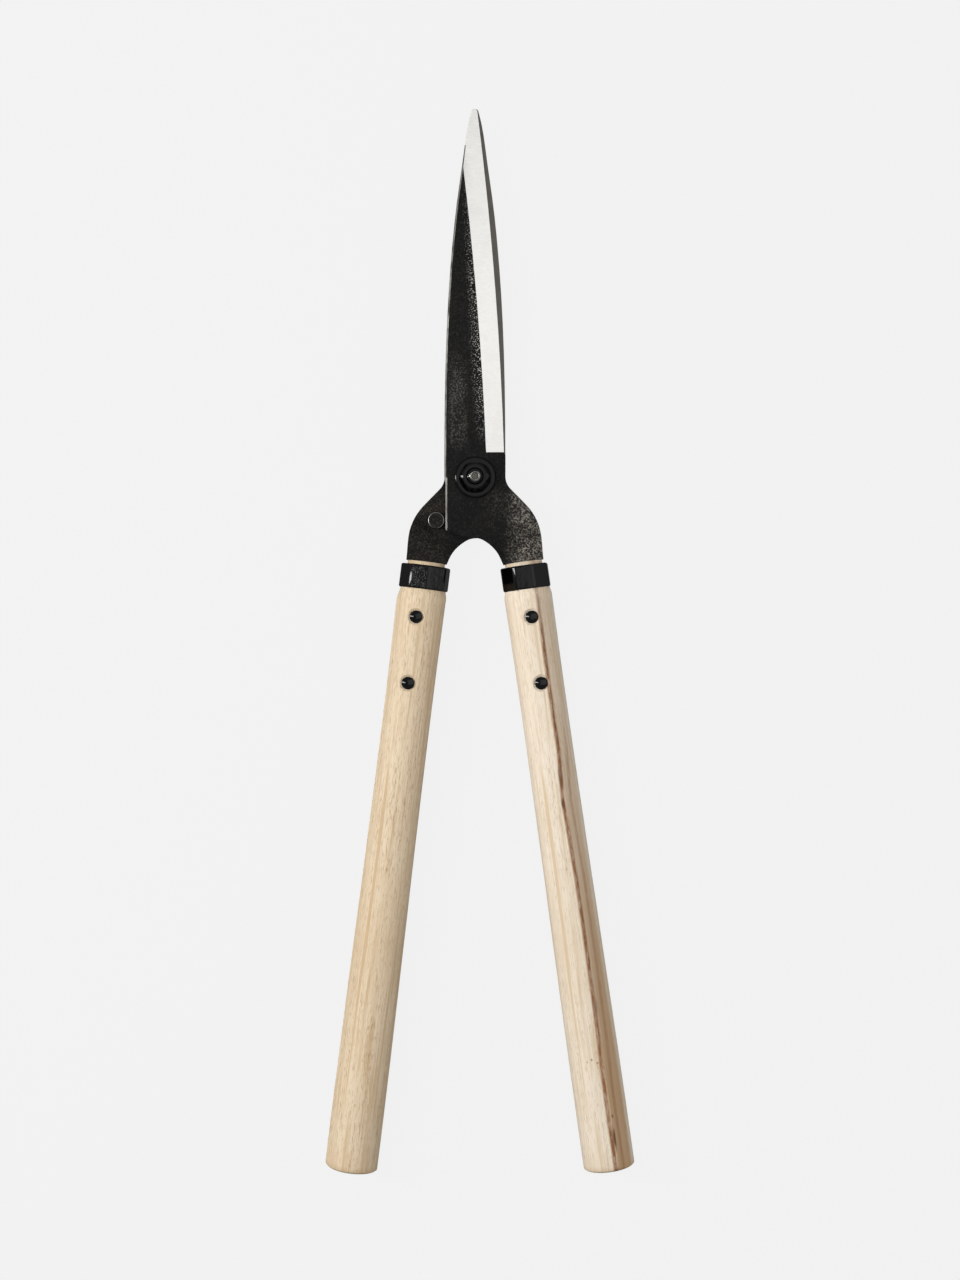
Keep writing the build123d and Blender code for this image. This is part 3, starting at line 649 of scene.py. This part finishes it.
# %% Handle shape
SHOULDER = 14.7              # neck end to the wood under the ring, mm
LENGTH = 326.8
NECK_R, END_R = 10.0, 13.6   # radius of the neck, and of the grip at its end
STATIONS = ((SHOULDER, 12.9), (SHOULDER + 110, 12.5), (LENGTH - 67, 13.5), (LENGTH, END_R))
SPREAD = radians(20)         # half of the angle that the ridge and its two flats take up
PEAK = END_R / cos(SPREAD) + 0.4
END_FLAT = END_R - 3.2       # flat of the rounded end, and the arc round it
END_ARC = PEAK - END_FLAT
DIP_R, DIP = 4.6, 0.95       # dip of the wood at a rivet head
RIDGES = {"left": 79.5, "right": -17.5}    # degrees from straight up to the ridge
BODIES = {"left": "back_half", "right": "front_half"}


def through(points, x):
    """Smooth curve through a few points, worked out at x."""
    total = 0
    for x_here, share in points:
        for x_other, _ in points:
            if x_other != x_here:
                share *= (x - x_other) / (x_here - x_other)
        total += share
    return total


def handle_radius(down, angle, ridge):
    """Radius of the grip at a distance down from the neck end and an angle round it."""
    radius = through(STATIONS, down)
    off = abs((angle - ridge + pi) % (2 * pi) - pi)
    if off < SPREAD:
        radius /= cos(SPREAD - off)
    if down < SHOULDER + 12:
        limit = through(((SHOULDER, 12.0), (SHOULDER + 4, 13.0), (SHOULDER + 12, PEAK)), down)
        radius = min(radius, limit)
    if down > LENGTH - END_ARC:
        part = down - (LENGTH - END_ARC)
        radius = min(radius, END_FLAT + sqrt(max(0, END_ARC ** 2 - part ** 2)))
    return radius


def handle(side):
    across, along, start, rivets, beside = FRAMES[side]
    ridge = radians(90 + RIDGES[side])
    bm = bmesh.new()
    bmesh.ops.create_circle(bm, cap_ends=True, segments=144, radius=9.6)
    first = atan2(bm.verts[:][0].co.y, bm.verts[:][0].co.x)
    bmesh.ops.rotate(bm, verts=bm.verts, cent=(0, 0, 0), matrix=Matrix.Rotation(ridge - first, 3, "Z"))
    edges = bm.edges[:]
    for r, z in ((NECK_R - 0.1, 0.15), (NECK_R, 0.5), (NECK_R, SHOULDER - 0.02), (11.6, SHOULDER)):
        edges = ring_edges(bm, edges, lambda a: (r, z))
    rows = [SHOULDER + i for i in range(13)]
    rows += [rivets[0] - 7 + 0.65 * i for i in range(1, 23)]
    rows += [rivets[0] + 7.5 + 3.5 * i for i in range(1, 7)]
    rows += [rivets[1] - 6 + 0.65 * i for i in range(0, 20)]
    rows += [rivets[1] + 8 + 4 * i for i in range(int((LENGTH - END_ARC - rivets[1] - 8) / 4) + 1)]
    rows += [LENGTH - END_ARC * (1 - sin(radians(q))) for q in range(0, 91, 9)]
    rows = sorted(set(round(r, 3) for r in rows if r > SHOULDER))

    def surface(a, z):
        r = handle_radius(z, a, ridge)
        slow = noise.noise(Vector((cos(a) * 1.2, sin(a) * 1.2, z / 38)))
        fade = min(1, (z - SHOULDER) / 8, max(0, (LENGTH - 4 - z)) / 8)
        r -= 0.10 * fade * abs(slow)
        x = r * cos(a)
        for spot in rivets:
            gap = hypot(x - beside, z - spot)
            if gap < DIP_R:
                share = min(1, DIP_R - gap)
                r -= DIP * share * share * (3 - 2 * share)
        return r, z

    for z in [SHOULDER + 0.01] + rows:
        edges = ring_edges(bm, edges, lambda a: surface(a, z))
    edges = ring_edges(bm, edges, lambda a: (END_FLAT * 0.5, LENGTH))
    edges = ring_edges(bm, edges, lambda a: (0.0001, LENGTH))
    bmesh.ops.remove_doubles(bm, verts=bm.verts, dist=1e-3)
    bmesh.ops.recalc_face_normals(bm, faces=bm.faces)
    finish_piece(bm, side + "_handle_shaved", side + "_handle", BODIES[side], [oak[side]],
                 local_matrix(across, along, start), crisp=16)


handle("left")
handle("right")

# %% [markdown]
# ## Eight-sided rings
# The ring that holds the neck together is a thick-walled octagon with rounded corners. An eight-sided face
# gets its corners rounded, an inset becomes the wall, and the wall is extruded to length. Bevelling the
# outer rims gives the bright line that runs round a rolled edge.

# %% Ferrules
FACET_AREA = 30              # square millimetres; only the flat facets are larger


def octagon_ring(side):
    across, along, start = FRAMES[side][:3]
    flats, wall, length, corner, above = 12.5, 2.45, 12.8, 2.6, 1.9    # above: neck seen over the ring
    bm = bmesh.new()
    bmesh.ops.create_circle(bm, cap_ends=True, segments=8, radius=flats / cos(pi / 8))
    first = atan2(bm.verts[:][0].co.y, bm.verts[:][0].co.x)
    bmesh.ops.rotate(bm, verts=bm.verts, cent=(0, 0, 0),
                     matrix=Matrix.Rotation(radians(90 + RIDGES[side]) - first, 3, "Z"))
    bmesh.ops.bevel(bm, geom=bm.verts[:], offset=corner * tan(pi / 8), offset_type="OFFSET",
                    affect="VERTICES", segments=8, profile=0.5, material=-1)
    middle = bm.faces[:][0]
    bmesh.ops.inset_region(bm, faces=[middle], thickness=0.6, depth=0, use_boundary=True)
    # the middle is now the face with many corners nearest the axis, and becomes the hole
    middle = min(bm.faces, key=lambda f: f.calc_center_median().length + (0 if len(f.verts) > 8 else 99))
    for v in middle.verts:
        v.co = v.co.normalized() * (flats - wall)
    bmesh.ops.delete(bm, geom=[middle], context="FACES_ONLY")
    made = bmesh.ops.extrude_face_region(bm, geom=bm.faces[:])["geom"]
    bmesh.ops.translate(bm, verts=[g for g in made if isinstance(g, bmesh.types.BMVert)], vec=(0, 0, length))
    bmesh.ops.recalc_face_normals(bm, faces=bm.faces)

    def outer(edge):
        ends = [v.co for v in edge.verts]
        return abs(ends[0].z - ends[1].z) < 1e-3 and min(hypot(c.x, c.y) for c in ends) > flats - 0.1

    rims = [e for e in bm.edges if outer(e)]
    bmesh.ops.bevel(bm, geom=rims, offset=1.0, offset_type="OFFSET", affect="EDGES", segments=5,
                    profile=0.5, material=-1)
    bmesh.ops.translate(bm, verts=bm.verts, vec=(0, 0, above))
    bmesh.ops.recalc_face_normals(bm, faces=bm.faces)
    finish_piece(bm, side + "_ring_octagon", side + "_ferrule", BODIES[side], [oxide],
                 local_matrix(across, along, start), crisp=20, flats=FACET_AREA)


octagon_ring("left")
octagon_ring("right")

# %% [markdown]
# ## Rivets
# A rivet goes through wood and tang, and its ends are hammered to low domes that sink a little into the
# wood. The half profile is spun round the rivet's axis, and hammer marks are left by pushing some of the
# dome's points down a few hundredths of a millimetre.

# %% Rivet heads and shanks
def rivet(side, which):
    low, high = near_pivot(side + which)
    centre = (low + high) / 2
    head, shank, rim, rise = (high.x - low.x) / 2, 2.0, 0.5, 1.2
    seat = (high.z - low.z) / 2 - rim - rise
    ball = (head ** 2 + rise ** 2) / (2 * rise)
    sweep = degrees(atan2(head, ball - rise))
    dome = arc((0, seat + rim + rise - ball), ball, 90, 90 - sweep, 8)
    half = dome + [(head, seat + 0.1), (head - 0.1, seat), (shank, seat), (shank, 0)]
    profile = half + [(r, -z) for r, z in reversed(half[:-1])]
    bm = bmesh.new()
    turn(bm, profile, steps=40)
    for v in bm.verts:
        if abs(v.co.z) > seat + rim + 0.1:
            mark = noise.noise(Vector((v.co.x * 0.5 + centre.y, v.co.y * 0.5, v.co.z)))
            v.co.z -= 0.09 * max(0, mark) * (1 if v.co.z > 0 else -1)
    bmesh.ops.translate(bm, verts=bm.verts, vec=centre)
    finish_piece(bm, side + which + "_domed", side + which, BODIES[side], [oxide], crisp=40)


for side in ("left", "right"):
    for which in ("_rivet_upper", "_rivet_lower"):
        rivet(side, which)

# %% [markdown]
# ## Floor, light and camera
# The tool lies on a plain pale ground that glows softly, so it throws almost no shadow. The sky is grey
# near the horizon and nearly black straight overhead: faces that look up mirror the dark part and stay
# dark. A large panel on the right shows as a reflection in the bevel, which leans that way, and a narrow key
# light from the left models the round of the wood and puts the bright lines on the black rings. Soft fills
# from above and from the right lift the wood and are not mirrored. The camera looks down from 1.1 metres.

# %% Floor
bm = bmesh.new()
bmesh.ops.create_grid(bm, x_segments=2, y_segments=2, size=20.0)
bmesh.ops.translate(bm, verts=bm.verts, vec=(0, 0, cad_box[0].z - 0.0005))
floor_mesh = bpy.data.meshes.new("floor")
bm.to_mesh(floor_mesh)
bm.free()
floor = bpy.data.objects.new("floor", floor_mesh)
bpy.context.scene.collection.objects.link(floor)
material, add = new_material("pale_ground")
glow = add("Emission", {"Color": paint("#f2f2f2"), "Strength": 0.968})
dull = add("BsdfDiffuse", {"Color": paint("#303030")})
add("OutputMaterial", {"Surface": add("AddShader", {0: glow, 1: dull})})
floor_mesh.materials.append(material)
floor.visible_diffuse = False     # the ground must not light the wood from below
floor.visible_glossy = False      # nor show as a pale band in the black rings

# %% Sky and panels
world = bpy.data.worlds.new("studio")
bpy.context.scene.world = world
world.use_nodes = True
world.node_tree.nodes.clear()
add = partial(add_node, world.node_tree)
height = add("SeparateXYZ", {0: add("TexCoord", out="Generated")}, out=2)
height = add("MapRange", {0: height, 1: -1.0, 2: 1.0})
sky = add("ValToRGB", {0: height}, stops=[(where, [grey] * 3 + [1]) for where, grey in (
    (0.0, 0.10), (0.998, 0.06), (0.44, 0.22), (0.52, 0.50), (0.80, 0.30), (0.975, 0.26))])
add("OutputWorld", {"Surface": add("Background", {"Color": sky, "Strength": 1.0})})


def soft_panel(name, toward, distance, wide, tall, radiance, diffuse=True, glossy=True):
    """Rectangular light that faces the pivot; toward is its direction from there."""
    light = bpy.data.lights.new(name, "AREA")
    light.shape = "RECTANGLE"
    light.size, light.size_y = wide, tall
    light.energy = radiance * 4 * wide * tall
    lamp = bpy.data.objects.new(name, light)
    toward = Vector(toward).normalized()
    lamp.location = PIVOT + toward * distance
    lamp.rotation_euler = toward.to_track_quat("Z", "Y").to_euler()
    lamp.visible_diffuse, lamp.visible_glossy = diffuse, glossy
    bpy.context.scene.collection.objects.link(lamp)
    print(name, "gives", round(light.energy, 1), "W")


soft_panel("bevel_panel", (0.50, 0.10, 1.0), 1.25, 1.30, 1.8, 0.62, diffuse=False)
soft_panel("left_key", (-1.10, 0.08, 0.92), 1.4, 0.20, 1.1, 15.5)
soft_panel("top_fill", (-0.25, 0.15, 1.0), 1.6, 1.4, 1.6, 0.72, glossy=False)
soft_panel("right_fill", (1.25, 0.0, 0.55), 1.5, 1.2, 1.6, 0.75, glossy=False)

# %% Camera
HEIGHT, HALF_FIELD = 1.1, 0.3424     # metres above the pivot, and half of what the frame shows there
camera_data = bpy.data.cameras.new("camera")
camera_data.sensor_fit = "VERTICAL"
camera_data.angle_y = 2 * atan2(HALF_FIELD, HEIGHT)
camera = bpy.data.objects.new("camera", camera_data)
camera.location = (0, 0, PIVOT.z + HEIGHT)
bpy.context.scene.collection.objects.link(camera)
bpy.context.scene.camera = camera
bpy.context.scene.view_settings.view_transform = "Standard"
